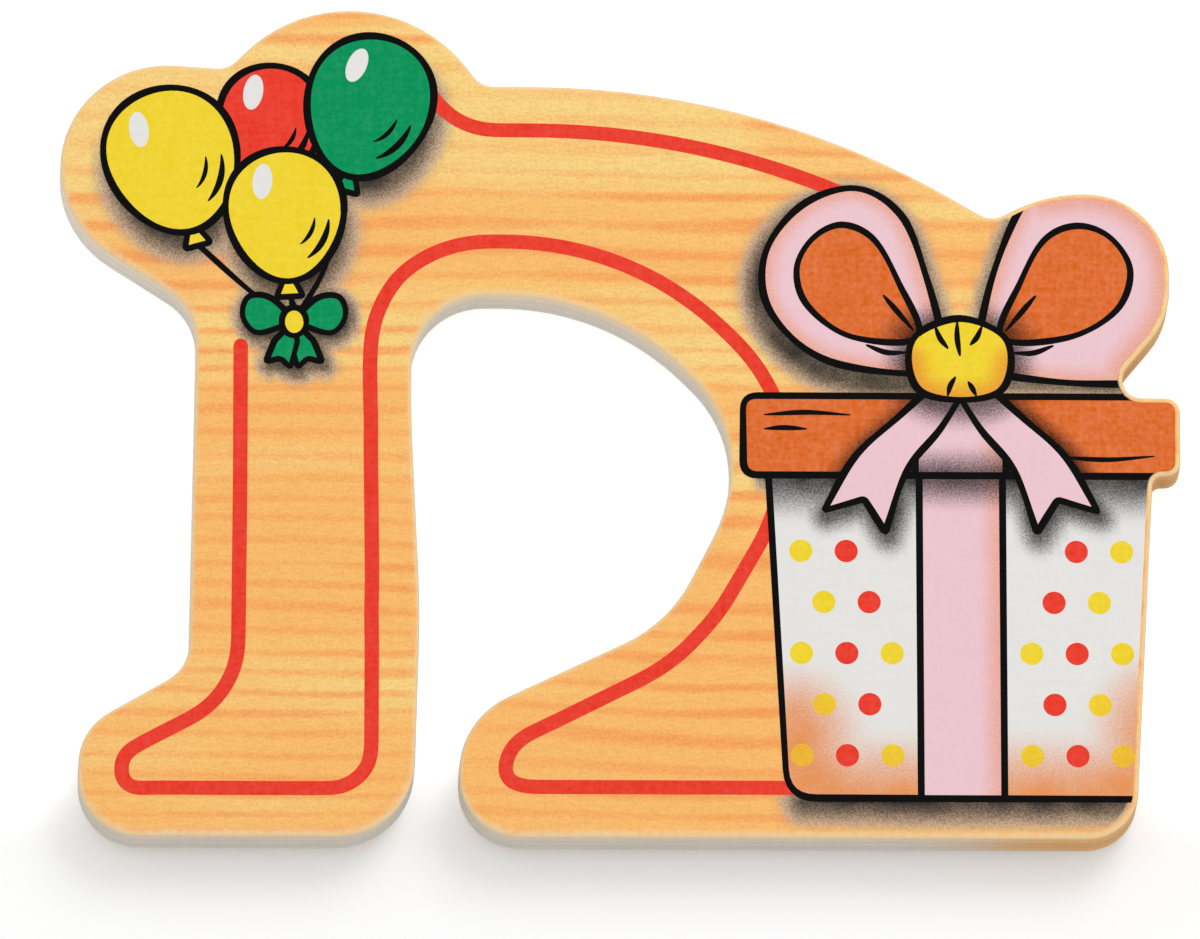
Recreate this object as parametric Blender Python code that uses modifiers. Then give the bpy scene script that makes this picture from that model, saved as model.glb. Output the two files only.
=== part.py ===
"""A die-cut plywood letter for a door or a wall, stuck up with foam pads.

The letter lies on its back: X runs to its right, Y to its top and Z out of its printed face.
The origin lies under the middle of the outline, on the plane of the release papers. Metres.
"""
import math

import bmesh
import bpy
from mathutils import Matrix, Vector

# The stem and its foot. X is measured from the stem's left side, Y from the baseline.
STEM_WIDTH = 0.0178
STEM_TUCK = 0.00026          # the stem's left side starts this far in, at its waist
STEM_FLARE = 0.00042         # and spreads this far out on its way down to the foot
STEM_BELLY = 0.00066         # the right side swells this far out
BELLY_HEIGHT = 0.0192        # baseline to the widest point of that swelling
BELLY_TOP = 0.0350           # baseline to where it starts
BELLY_RADIUS = 0.0800
FOOT_REACH = 0.0094          # how far the foot stands out to the left of the stem
FOOT_HEIGHT = 0.0142         # where the foot's upper edge meets the stem
FOOT_SLOPE = math.radians(30)
FOOT_HEEL_RADIUS = 0.0050
FOOT_INSTEP_RADIUS = 0.0035
FOOT_RIGHT_RADIUS = 0.0065

# The bowl and the counter that it goes round. The bowl's tail stops short of the stem.
CAP_HEIGHT = 0.0635          # baseline to the top of the bowl
BOWL_RADIUS = 0.0673         # the long arc along the bowl's top
BOWL_FALL = math.radians(31)  # how far that arc turns downward
BOWL_SHOULDER = 0.0287       # from the stem's right side to where the arc's two tangents meet
COUNTER_HEIGHT = 0.0456      # baseline to the counter's top
COUNTER_WIDTH = 0.0260       # stem to the counter's right side
COUNTER_CORNER_RADIUS = 0.0060
COUNTER_SHOULDER = 0.0100    # how much the counter's upper right is cut back, each way
COUNTER_SHOULDER_RADIUS = 0.0208
COUNTER_SIDE_RADIUS = 0.0105
COUNTER_KNEE = 0.0282        # height at which the counter's right side starts to lean in
COUNTER_KNEE_RADIUS = 0.0130
MOUTH_WIDTH = 0.0038         # the open gap between the foot and the bowl's tail
TAIL_HEIGHT = 0.0100         # where the tail's upper edge would meet its tip
TAIL_SLOPE = math.radians(25.5)
TAIL_LEAN = math.radians(63)  # the steeper run that links the tail to the counter's side
TAIL_BEND_RADIUS = 0.0120
TAIL_TOP_RADIUS = 0.0070
TAIL_TIP_RADIUS = 0.0050

# The two round lobes at the top left
LEFT_LOBE_X = -0.0021
LEFT_LOBE_Y = 0.0564
LEFT_LOBE_RADIUS = 0.0088
LEFT_LOBE_START = math.radians(86)   # direction in which the left lobe rises out of its notch
LEFT_LOBE_END = math.radians(237)    # direction in which it runs out to the stem
TOP_LOBE_X = 0.0128
TOP_LOBE_Y = 0.0579
TOP_LOBE_RADIUS = 0.0120
TOP_LOBE_START = math.radians(37)    # direction in which the top lobe leaves the bowl
TOP_LOBE_END = math.radians(135)
LOBE_NOTCH_RADIUS = 0.0020
LOBE_STEM_RADIUS = 0.0050

# The parcel that ends the bowl at the right: a box, its lid and one loop of its bow
PARCEL_REACH = 0.0783        # stem's left side to the box's right side, under its lid
PARCEL_TAPER = 0.0016        # the box narrows this much on that side towards its base
PARCEL_BASE_RADIUS = 0.0042
LID_BOTTOM = 0.0306
LID_HEIGHT = 0.0067
LID_OVERHANG = 0.0023
LID_RADIUS = 0.0012
LID_UNDERCUT_RADIUS = 0.0008
BOW_TOP = 0.0546
BOW_REACH = 0.0798           # stem's left side to the loop's right end
BOW_UNDERSIDE = 0.0440       # height at which the loop's right end turns under
BOW_NOTCH = 0.0742           # stem's left side to the notch between the loop and the lid
BOW_LEFT = 0.0695            # stem's left side to the loop's upper left corner
BOW_RISE = math.radians(30)  # slope at which the loop climbs out of the bowl
BOW_END_RADIUS = 0.0068
BOW_TOP_RADIUS = 0.0130
BOW_NOTCH_RADIUS = 0.0015
BOW_ROOT_RADIUS = 0.0020

# The board: three plies, the middle one with its grain across, and what sticks it up
FACE_PLY = 0.0012
CORE_PLY = 0.0015
GLUE_LINE = 0.00005          # the film of glue between two plies, or under a pad
FRONT_ARRIS = 0.0004         # sanded rounding round the printed face
BACK_ARRIS = 0.0002
PAD_SIDE = 0.0120
PAD_THICKNESS = 0.0010
PAD_RADIUS = 0.0012
LINER_THICKNESS = 0.00015
LINER_TAB = 0.0025           # the liner runs this far past its pad, to be gripped
FOOT_PAD_HEIGHT = 0.0095     # baseline to the middle of the foot's pad
BOW_PAD_DROP = 0.0105        # top of the bow to the middle of its pad

# Facets: how far a chord may lie from its arc, and the steps across a sanded edge
CHORD_ERROR = 0.000012
ARRIS_STEPS = 2
SMOOTH_ANGLE = math.radians(35)

# Colours (linear), roughness
FACE_COLOUR = (0.90, 0.48, 0.15)
CORE_COLOUR = (0.55, 0.42, 0.28)
BACK_COLOUR = (0.72, 0.56, 0.36)
PAD_COLOUR = (0.85, 0.85, 0.82)
LINER_COLOUR = (0.72, 0.60, 0.40)


def clear_scene():
    """Remove whatever objects the file opened with."""
    for found in list(bpy.data.objects):
        bpy.data.objects.remove(found, do_unlink=True)


def make_material(name, colour, roughness):
    """A plain Principled material; none of these pieces is metal."""
    material = bpy.data.materials.new(name)
    material.use_nodes = True
    shader = material.node_tree.nodes["Principled BSDF"]
    shader.inputs["Base Color"].default_value = (*colour, 1.0)
    shader.inputs["Roughness"].default_value = roughness
    shader.inputs["Metallic"].default_value = 0.0
    return material


def corner(x, y, radius):
    """A corner of an outline: where its two straight runs meet, and how it is rounded."""
    return Vector((x, y)), radius


def crossing(start, start_angle, end, end_angle):
    """The point where a line through start meets a line through end, each at its own angle."""
    first = Vector((math.cos(start_angle), math.sin(start_angle)))
    second = Vector((math.cos(end_angle), math.sin(end_angle)))
    offset = Vector(end) - Vector(start)
    along = offset.cross(second) / first.cross(second)
    return Vector(start) + first * along


def lobe_corner(centre, radius, start, end):
    """The corner whose rounding is the circle's arc from the start to the end direction."""
    half = (end - start) / 2
    middle = (start + end) / 2
    reach = radius / math.cos(half)
    return corner(centre[0] + reach * math.cos(middle), centre[1] + reach * math.sin(middle), radius)


def circle_point(centre, radius, angle):
    """A point of a circle, in the given direction from its centre."""
    return Vector((centre[0] + radius * math.cos(angle), centre[1] + radius * math.sin(angle)))


def foot_corners():
    """The bottom of the stem's foot, from its heel, and up the swell of the stem's right side."""
    return [
        corner(-FOOT_REACH, 0.0, FOOT_HEEL_RADIUS),
        corner(STEM_WIDTH, 0.0, FOOT_RIGHT_RADIUS),
        corner(STEM_WIDTH + STEM_BELLY, BELLY_HEIGHT, BELLY_RADIUS),
        corner(STEM_WIDTH, BELLY_TOP, BELLY_RADIUS),
    ]


def counter_corners():
    """Round the counter: along its top, down its right side and out along the bowl's tail."""
    right = STEM_WIDTH + COUNTER_WIDTH
    tip = STEM_WIDTH + MOUTH_WIDTH
    bend = crossing((right, COUNTER_KNEE), TAIL_LEAN, (tip, TAIL_HEIGHT), TAIL_SLOPE)
    return [
        corner(STEM_WIDTH, COUNTER_HEIGHT, COUNTER_CORNER_RADIUS),
        corner(right - COUNTER_SHOULDER, COUNTER_HEIGHT, COUNTER_SHOULDER_RADIUS),
        corner(right, COUNTER_HEIGHT - COUNTER_SHOULDER, COUNTER_SIDE_RADIUS),
        corner(right, COUNTER_KNEE, COUNTER_KNEE_RADIUS),
        corner(bend.x, bend.y, TAIL_BEND_RADIUS),
        corner(tip, TAIL_HEIGHT, TAIL_TOP_RADIUS),
        corner(tip, 0.0, TAIL_TIP_RADIUS),
    ]


def parcel_corners():
    """Up the right side: the box, its lid, and the loop of its bow."""
    lid_right = PARCEL_REACH + LID_OVERHANG
    lid_top = LID_BOTTOM + LID_HEIGHT
    shoulder = (STEM_WIDTH + BOWL_SHOULDER, CAP_HEIGHT)
    root = crossing((BOW_LEFT, BOW_TOP), BOW_RISE, shoulder, -BOWL_FALL)
    return [
        corner(PARCEL_REACH - PARCEL_TAPER, 0.0, PARCEL_BASE_RADIUS),
        corner(PARCEL_REACH, LID_BOTTOM, LID_UNDERCUT_RADIUS),
        corner(lid_right, LID_BOTTOM, LID_RADIUS),
        corner(lid_right, lid_top, LID_RADIUS),
        corner(BOW_NOTCH, lid_top, BOW_NOTCH_RADIUS),
        corner(BOW_REACH, BOW_UNDERSIDE, BOW_END_RADIUS),
        corner(BOW_REACH, BOW_TOP, BOW_END_RADIUS),
        corner(BOW_LEFT, BOW_TOP, BOW_TOP_RADIUS),
        corner(root.x, root.y, BOW_ROOT_RADIUS),
        corner(shoulder[0], shoulder[1], BOWL_RADIUS),
    ]


def lobe_corners():
    """Over the two lobes, from the bowl's top to the left side of the stem."""
    up = math.pi / 2
    top_centre = (TOP_LOBE_X, TOP_LOBE_Y)
    left_centre = (LEFT_LOBE_X, LEFT_LOBE_Y)
    leaving = circle_point(top_centre, TOP_LOBE_RADIUS, TOP_LOBE_START)
    landing = circle_point(top_centre, TOP_LOBE_RADIUS, TOP_LOBE_END)
    ending = circle_point(left_centre, LEFT_LOBE_RADIUS, LEFT_LOBE_END)
    rising = circle_point(left_centre, LEFT_LOBE_RADIUS, LEFT_LOBE_START)
    root = crossing(leaving, TOP_LOBE_START + up, (0.0, CAP_HEIGHT), 0.0)
    notch = crossing(landing, TOP_LOBE_END + up, rising, LEFT_LOBE_START + up)
    waist = crossing(ending, LEFT_LOBE_END + up, (STEM_TUCK, 0.0), up)
    return [
        corner(root.x, root.y, LOBE_NOTCH_RADIUS),
        lobe_corner(top_centre, TOP_LOBE_RADIUS, TOP_LOBE_START, up),
        lobe_corner(top_centre, TOP_LOBE_RADIUS, up, TOP_LOBE_END),
        corner(notch.x, notch.y, LOBE_NOTCH_RADIUS),
        lobe_corner(left_centre, LEFT_LOBE_RADIUS, LEFT_LOBE_START, math.pi),
        lobe_corner(left_centre, LEFT_LOBE_RADIUS, math.pi, LEFT_LOBE_END),
        corner(waist.x, waist.y, LOBE_STEM_RADIUS),
    ]


def instep_corners():
    """Down the stem's left side and along the top of its foot."""
    foot_end = FOOT_HEIGHT - (FOOT_REACH - STEM_FLARE) * math.tan(FOOT_SLOPE)
    return [
        corner(-STEM_FLARE, FOOT_HEIGHT, FOOT_INSTEP_RADIUS),
        corner(-FOOT_REACH, foot_end, FOOT_HEEL_RADIUS),
    ]


def letter_corners():
    """The whole outline, counter-clockwise from the foot's heel."""
    bottom = foot_corners() + counter_corners()
    return bottom + parcel_corners() + lobe_corners() + instep_corners()


def square_corners(width, height, radius):
    """A rounded rectangle about the origin."""
    half_width = width / 2
    half_height = height / 2
    return [
        corner(-half_width, -half_height, radius),
        corner(half_width, -half_height, radius),
        corner(half_width, half_height, radius),
        corner(-half_width, half_height, radius),
    ]


def turn_at(corners, index):
    """The unit runs into and out of a corner, and the angle between them."""
    point = corners[index][0]
    arriving = (point - corners[index - 1][0]).normalized()
    leaving = (corners[(index + 1) % len(corners)][0] - point).normalized()
    return arriving, leaving, math.atan2(arriving.cross(leaving), arriving.dot(leaving))


def rounded_outline(corners):
    """Points along the outline: each corner is an arc, and two arcs on one run share its length."""
    count = len(corners)
    wanted = []
    for index in range(count):
        turn = turn_at(corners, index)[2]
        wanted.append(corners[index][1] * math.tan(abs(turn) / 2))
    share = []
    for index in range(count):
        run = (corners[(index + 1) % count][0] - corners[index][0]).length
        share.append(min(1.0, run / (wanted[index] + wanted[(index + 1) % count])))
    points = []
    for index in range(count):
        arriving, leaving, turn = turn_at(corners, index)
        radius = corners[index][1] * min(share[index - 1], share[index])
        tangent = radius * math.tan(abs(turn) / 2)
        start = corners[index][0] - arriving * tangent
        side = math.copysign(1.0, turn)
        centre = start + Vector((-arriving.y, arriving.x)) * side * radius
        step = 2 * math.acos(1 - CHORD_ERROR / radius)
        steps = max(2, math.ceil(abs(turn) / step))
        spoke = start - centre
        for number in range(steps + 1):
            points.append(centre + Matrix.Rotation(turn * number / steps, 2) @ spoke)
    return points


def drop_repeats(points):
    """Leave out a point that lies on the one before it, where two arcs meet on a run."""
    kept = []
    for index, point in enumerate(points):
        if (point - points[index - 1]).length > CHORD_ERROR:
            kept.append(point)
    return kept


def outline_mesh(name, points, thickness):
    """A closed plate: the outline as a filled 2D curve, made a mesh with its caps welded on."""
    curve = bpy.data.curves.new(name, "CURVE")
    curve.dimensions = "2D"
    curve.fill_mode = "BOTH"
    curve.extrude = thickness / 2
    spline = curve.splines.new("POLY")
    spline.points.add(len(points) - 1)
    for target, point in zip(spline.points, points):
        target.co = (point.x, point.y, 0.0, 1.0)
    spline.use_cyclic_u = True
    drawn = bpy.data.objects.new(name, curve)
    bpy.context.scene.collection.objects.link(drawn)
    evaluated = drawn.evaluated_get(bpy.context.evaluated_depsgraph_get())
    mesh = bpy.data.meshes.new_from_object(evaluated)
    bpy.data.objects.remove(drawn, do_unlink=True)
    bpy.data.curves.remove(curve)
    mesh.name = name
    plate = bmesh.new()
    plate.from_mesh(mesh)
    bmesh.ops.remove_doubles(plate, verts=plate.verts, dist=CHORD_ERROR / 10)
    for facing in (1.0, -1.0):
        cap = [face for face in plate.faces if face.normal.z * facing > 0.5]
        bmesh.ops.dissolve_faces(plate, faces=cap)
    bmesh.ops.recalc_face_normals(plate, faces=plate.faces)
    plate.to_mesh(mesh)
    plate.free()
    return mesh


def mark_rim(mesh, facing):
    """Give full bevel weight to the edges round the face that looks up (1) or down (-1)."""
    plate = bmesh.new()
    plate.from_mesh(mesh)
    weight = plate.edges.layers.float.new("bevel_weight_edge")
    for face in plate.faces:
        if face.normal.z * facing > 0.5:
            for edge in face.edges:
                edge[weight] = 1.0
    plate.to_mesh(mesh)
    plate.free()


def place(name, mesh, material, spot, carrier, collection):
    """A named sub-part at its spot, with its material, carried by the letter's empty."""
    mesh.materials.clear()
    mesh.materials.append(material)
    mesh.shade_smooth()
    mesh.set_sharp_from_angle(angle=SMOOTH_ANGLE)
    part = bpy.data.objects.new(name, mesh)
    collection.objects.link(part)
    part.parent = carrier
    part.location = spot
    return part


def round_rim(part, width):
    """Sand the marked rim of a ply to a small round."""
    bevel = part.modifiers.new("arris", "BEVEL")
    bevel.limit_method = "WEIGHT"
    bevel.offset_type = "OFFSET"
    bevel.width = width
    bevel.segments = ARRIS_STEPS
    bevel.use_clamp_overlap = False


def build_plies(points, bottom, carrier, collection):
    """The three plies of the board, from the back to the printed face."""
    back_level = bottom + FACE_PLY / 2
    core_level = bottom + FACE_PLY + GLUE_LINE + CORE_PLY / 2
    front_level = bottom + FACE_PLY + CORE_PLY + 2 * GLUE_LINE + FACE_PLY / 2

    back = outline_mesh("back_ply", points, FACE_PLY)
    mark_rim(back, -1.0)
    back_finish = make_material("bare_back", BACK_COLOUR, 0.60)
    stuck = place("back_ply", back, back_finish, (0, 0, back_level), carrier, collection)
    round_rim(stuck, BACK_ARRIS)

    core = outline_mesh("core_ply", points, CORE_PLY)
    core_finish = make_material("cross_grain", CORE_COLOUR, 0.70)
    place("core_ply", core, core_finish, (0, 0, core_level), carrier, collection)

    front = outline_mesh("front_ply", points, FACE_PLY)
    mark_rim(front, 1.0)
    front_finish = make_material("stained_face", FACE_COLOUR, 0.45)
    printed = place("front_ply", front, front_finish, (0, 0, front_level), carrier, collection)
    round_rim(printed, FRONT_ARRIS)


def pad_places():
    """Where the four foam pads sit: the lobes, the foot, the bow and the box."""
    parcel_middle = (STEM_WIDTH + COUNTER_WIDTH + BOW_REACH) / 2
    return {
        "lobe": ((LEFT_LOBE_X + TOP_LOBE_X) / 2, (LEFT_LOBE_Y + TOP_LOBE_Y) / 2),
        "foot": (STEM_WIDTH / 2, FOOT_PAD_HEIGHT),
        "bow": (parcel_middle, BOW_TOP - BOW_PAD_DROP),
        "box": (parcel_middle, LID_BOTTOM / 2),
    }


def build_pads(carrier, collection):
    """A foam pad at each place, and the release paper that covers its lower face."""
    pad_level = LINER_THICKNESS + GLUE_LINE + PAD_THICKNESS / 2
    pad_points = rounded_outline(square_corners(PAD_SIDE, PAD_SIDE, PAD_RADIUS))
    liner_points = rounded_outline(square_corners(PAD_SIDE, PAD_SIDE + LINER_TAB, PAD_RADIUS))
    for place_name, (x, y) in pad_places().items():
        pad_name = "foam_pad_" + place_name
        pad = outline_mesh(pad_name, drop_repeats(pad_points), PAD_THICKNESS)
        foam = make_material("foam_" + place_name, PAD_COLOUR, 0.85)
        place(pad_name, pad, foam, (x, y, pad_level), carrier, collection)

        liner_name = "release_paper_" + place_name
        liner = outline_mesh(liner_name, drop_repeats(liner_points), LINER_THICKNESS)
        paper = make_material("waxed_paper_" + place_name, LINER_COLOUR, 0.35)
        spot = (x, y - LINER_TAB / 2, LINER_THICKNESS / 2)
        place(liner_name, liner, paper, spot, carrier, collection)


def main():
    clear_scene()
    collection = bpy.data.collections.new("wooden_letter")
    bpy.context.scene.collection.children.link(collection)
    points = drop_repeats(rounded_outline(letter_corners()))

    # The empty carries every piece, so that the origin lies under the middle of the outline.
    across = [point.x for point in points]
    along = [point.y for point in points]
    carrier = bpy.data.objects.new("letter_middle", None)
    collection.objects.link(carrier)
    carrier.location = (-(min(across) + max(across)) / 2, -(min(along) + max(along)) / 2, 0.0)

    board_bottom = LINER_THICKNESS + PAD_THICKNESS + 2 * GLUE_LINE
    build_plies(points, board_bottom, carrier, collection)
    build_pads(carrier, collection)
    print(f"outline: {len(points)} points, {max(across) - min(across):.4f} m wide, "
          f"{max(along) - min(along):.4f} m high")


main()
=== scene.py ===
# %% [markdown]
# # A printed plywood letter
# The object is a small letter D, sawn from three-ply board, printed on its face and made to be stuck
# on a door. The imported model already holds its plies, foam pads and release papers at their real
# size. This notebook gives them their looks: a stained and printed face, bare sawn edges, foam and
# waxed paper. The model is the fixed frame, so every piece below takes its place from it.

import math
from functools import partial

import bmesh
import bpy
import numpy as np
from mathutils import Matrix, Vector
from mathutils.geometry import delaunay_2d_cdt


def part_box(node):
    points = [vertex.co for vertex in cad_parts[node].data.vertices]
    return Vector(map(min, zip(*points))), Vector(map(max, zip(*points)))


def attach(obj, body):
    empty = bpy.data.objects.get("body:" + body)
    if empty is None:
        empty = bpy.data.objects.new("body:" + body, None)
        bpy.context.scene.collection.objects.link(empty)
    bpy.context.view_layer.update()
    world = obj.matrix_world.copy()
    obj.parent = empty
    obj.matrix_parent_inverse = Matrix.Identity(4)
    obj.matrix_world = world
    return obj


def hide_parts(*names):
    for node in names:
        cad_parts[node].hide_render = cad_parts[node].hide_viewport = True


MM = 0.001

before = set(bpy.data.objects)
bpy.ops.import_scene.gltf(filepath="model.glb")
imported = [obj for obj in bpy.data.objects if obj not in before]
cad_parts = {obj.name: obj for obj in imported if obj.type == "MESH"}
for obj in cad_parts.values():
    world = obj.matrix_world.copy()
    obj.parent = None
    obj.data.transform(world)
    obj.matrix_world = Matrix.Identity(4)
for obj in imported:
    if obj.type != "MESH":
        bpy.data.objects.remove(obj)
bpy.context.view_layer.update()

# %% [markdown]
# A sign maker draws a letter from two lines: the left side of its upright stem and the line that it
# stands on. The drawing here keeps those two lines and counts in millimetres, because pen widths and
# margins are easier to judge that way. One helper turns drawn points into metres in the frame.

# %% The drawing's measure
LOBE_REACH = 10.9
board_low, board_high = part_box("front_ply")
FACE = board_high.z
DRAWING_ORIGIN = np.array((board_low.x + LOBE_REACH * MM, board_low.y))


def to_frame(drawn, height):
    """Points of the drawing, in millimetres, as frame points at that height."""
    flat = np.asarray(drawn, float) * MM + DRAWING_ORIGIN
    return [Vector((x, y, height)) for x, y in flat]


print("the face lies", round(FACE / MM, 2), "mm above the floor")

# %% [markdown]
# The photograph looks down on the letter from a little below its foot and a little to its left, so
# the sawn edge shows under the foot and hardly anywhere else. The sides don't converge, which means
# a long lens from far away. The camera could be aimed by a constraint, but a direction with its own
# level keeps the letter straight in the picture: halfway between a level base and an upright stem.

# %% Camera
PICTURE_WIDTH = 97.9
PICTURE_MIDDLE = (33.15, 31.0)
VIEW_TILT = math.radians(15)
VIEW_LEAN = math.radians(1.8)
LENS = 900
SIGHT = 100


def add_object(name, data):
    """A new object of that data, linked to the scene."""
    made = bpy.data.objects.new(name, data)
    bpy.context.scene.collection.objects.link(made)
    return made


towards_camera = Vector((-math.sin(VIEW_LEAN), -math.sin(VIEW_TILT), math.cos(VIEW_TILT))).normalized()
square_to_stem = Vector((0, 1, 0)).cross(towards_camera).normalized()
along_base = Vector((1, 0, 0)) - towards_camera * towards_camera.x
picture_right = (square_to_stem + along_base.normalized()).normalized()
picture_up = towards_camera.cross(picture_right)
level = Matrix((picture_right, picture_up, towards_camera)).transposed().to_4x4()
camera = add_object("camera", bpy.data.cameras.new("camera"))
camera.data.lens = LENS
camera.data.clip_end = SIGHT
distance = PICTURE_WIDTH * MM * LENS / camera.data.sensor_width
aim = to_frame([PICTURE_MIDDLE], FACE)[0]
camera.matrix_world = Matrix.Translation(aim + towards_camera * distance) @ level
bpy.context.scene.camera = camera
bpy.context.scene.view_settings.view_transform = "Standard"
print("camera", round(distance, 3), "m from the face")

# %% [markdown]
# A material is a small network, and a network is easier to read when each step is one line. Three
# small helpers do the wiring. Colours are written in screen steps of 0 to 255, as a paint chart or a
# colour picker gives them, and turned into the linear values that shaders use.

# %% Colours and nodes
def paint(red, green, blue):
    """A colour in screen steps of 0 to 255, as linear values."""
    screen = [step / 255 for step in (red, green, blue)]
    return (*[s / 12.92 if s <= 0.04045 else ((s + 0.055) / 1.055) ** 2.4 for s in screen], 1.0)


def feed(target, source):
    """Links source to the target socket if it is a socket itself, or else writes it there."""
    if isinstance(source, bpy.types.NodeSocket):
        target.id_data.links.new(source, target)
    else:
        target.default_value = source


def add_node(tree, kind, inputs=None, **settings):
    """A node of that kind, with its settings made and its inputs fed."""
    made = tree.nodes.new(kind)
    for name, value in settings.items():
        setattr(made, name, value)
    for socket, source in (inputs or {}).items():
        feed(made.inputs[socket], source)
    return made


print("white paper in shader values:", [round(value, 3) for value in paint(232, 230, 226)])

# %% [markdown]
# Sums on values get short names, so that a formula reads from left to right. A socket knows which
# network it belongs to, so the sums take only their terms. A value spread over a range is the most
# useful of them: it turns a place or a noise into a soft mask.

# %% Sums on values
def tree_of(*terms):
    """The network of the first socket among the terms."""
    return next(term.id_data for term in terms if isinstance(term, bpy.types.NodeSocket))


def calc(operation, *terms):
    """The result of one sum on values, at least one of which is a socket."""
    made = add_node(tree_of(*terms), "ShaderNodeMath", dict(enumerate(terms)), operation=operation)
    return made.outputs[0]


plus = partial(calc, "ADD")
minus = partial(calc, "SUBTRACT")
times = partial(calc, "MULTIPLY")
times_plus = partial(calc, "MULTIPLY_ADD")
larger = partial(calc, "MAXIMUM")


def mixture(first, first_share, second, second_share):
    """Two values added up in those shares."""
    return times_plus(first, first_share, times(second, second_share))


def spread(value, low, high, bottom=0.0, top=1.0):
    """Value as a smooth step: bottom at low, top at high."""
    inputs = {"Value": value, "From Min": low, "From Max": high, "To Min": bottom, "To Max": top}
    made = add_node(value.id_data, "ShaderNodeMapRange", inputs, interpolation_type="SMOOTHSTEP")
    return made.outputs[0]


print("sums:", ", ".join(step.args[0] for step in (plus, minus, times, times_plus, larger)))

# %% [markdown]
# Colours are mixed and shaded, and cloudy noise makes them uneven. Noise takes its place from the
# piece itself, so it stays put when the letter moves. Its clouds are counted to the metre along X, Y
# and Z, which makes grain and drops easy to judge.

# %% Blends and noise
def blend(share, under, over):
    """The colour under, covered by the colour over in that share."""
    inputs = {"Factor": share, "A": under, "B": over}
    mix = add_node(tree_of(share, under, over), "ShaderNodeMix", data_type="RGBA")
    for socket in mix.inputs:
        if socket.enabled and socket.name in inputs:
            feed(socket, inputs[socket.name])
    return next(socket for socket in mix.outputs if socket.enabled)


def shaded(colour, brightness, strength=1.0):
    """The colour with its brightness and its strength multiplied by those values."""
    inputs = {"Color": colour, "Value": brightness, "Saturation": strength}
    return add_node(colour.id_data, "ShaderNodeHueSaturation", inputs).outputs[0]


def own_place(tree):
    """The point's place in its own piece, which is also its place in the frame."""
    return add_node(tree, "ShaderNodeTexCoord").outputs["Object"]


def axes(vector):
    """The X, Y and Z of a vector."""
    return add_node(vector.id_data, "ShaderNodeSeparateXYZ", {0: vector}).outputs


def noise(place, per_metre, detail=2.0):
    """Cloudy noise with that many clouds to the metre along each axis."""
    tree = place.id_data
    stretched = add_node(tree, "ShaderNodeVectorMath", {0: place, 1: per_metre}, operation="MULTIPLY")
    inputs = {"Vector": stretched.outputs[0], "Scale": 1.0, "Detail": detail}
    return add_node(tree, "ShaderNodeTexNoise", inputs).outputs[0]


print("steps:", ", ".join(step.__name__ for step in (blend, shaded, own_place, axes, noise)))

# %% [markdown]
# The photograph is a catalogue shot: white all round, with one soft shadow that falls below the
# letter and slightly to its left. So the main light is a large softbox above the letter's head, and
# a white room fills the rest. A sun lamp could do it too, but a softbox has a place and a size that
# can be judged from the shadow.

# %% Studio light
WHITE = (1, 1, 1, 1)
ROOM_LIGHT = 0.8
SOFTBOX_PLACE = Vector((0.28, 0.42, 0.6))
SOFTBOX_SIDE = 0.4
SOFTBOX_POWER = 1.5


def seen_rays(tree):
    """1 for looks, reflections and refractions, and 0 for light that travels on."""
    path = add_node(tree, "ShaderNodeLightPath").outputs
    mirrored = larger(path["Is Glossy Ray"], path["Is Transmission Ray"])
    return larger(path["Is Camera Ray"], mirrored)


room = bpy.data.worlds.new("studio_room")
room.use_nodes = True
room_tree = room.node_tree
background = room_tree.nodes["Background"]
background.inputs["Color"].default_value = WHITE
room_strength = spread(seen_rays(room_tree), 0.0, 1.0, ROOM_LIGHT, 1.0)
feed(background.inputs["Strength"], room_strength)
bpy.context.scene.world = room

softbox = add_object("softbox", bpy.data.lights.new("softbox", "AREA"))
softbox.data.size = SOFTBOX_SIDE
softbox.data.energy = SOFTBOX_POWER
softbox.location = SOFTBOX_PLACE
softbox.rotation_euler = (-SOFTBOX_PLACE).to_track_quat("-Z", "Y").to_euler()
print("softbox at", [round(v, 2) for v in SOFTBOX_PLACE], "m")

# %% [markdown]
# The floor is pale and takes the shadow. A little glow that only direct looks and reflections see
# lifts it to white, so that no extra light falls on the letter. The glow is weaker round the
# letter's foot, because the photograph keeps its shadow only there.

# %% Floor
FLOOR_SIDE = 6.0
FLOOR_GAP = 0.02 * MM
FLOOR_PALES = (paint(244, 244, 244), paint(247, 247, 247))
FLOOR_ROUGHNESS = 0.9
FLOOR_GLOSS = 0.1
FOOT_LIFT = 0.12
FULL_LIFT = 0.6
SHADOW_ROWS = (board_low.y, 0.7 * board_low.y)
SHADOW_ENDS = (0.06, 0.16)


def new_material(name, inputs=None):
    """A material with only a Principled shader, its node tree and that shader, with plain inputs."""
    made = bpy.data.materials.new(name)
    made.use_nodes = True
    tree = made.node_tree
    tree.nodes.clear()
    shader = add_node(tree, "ShaderNodeBsdfPrincipled", inputs)
    add_node(tree, "ShaderNodeOutputMaterial", {"Surface": shader.outputs[0]})
    return made, tree, shader


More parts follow.
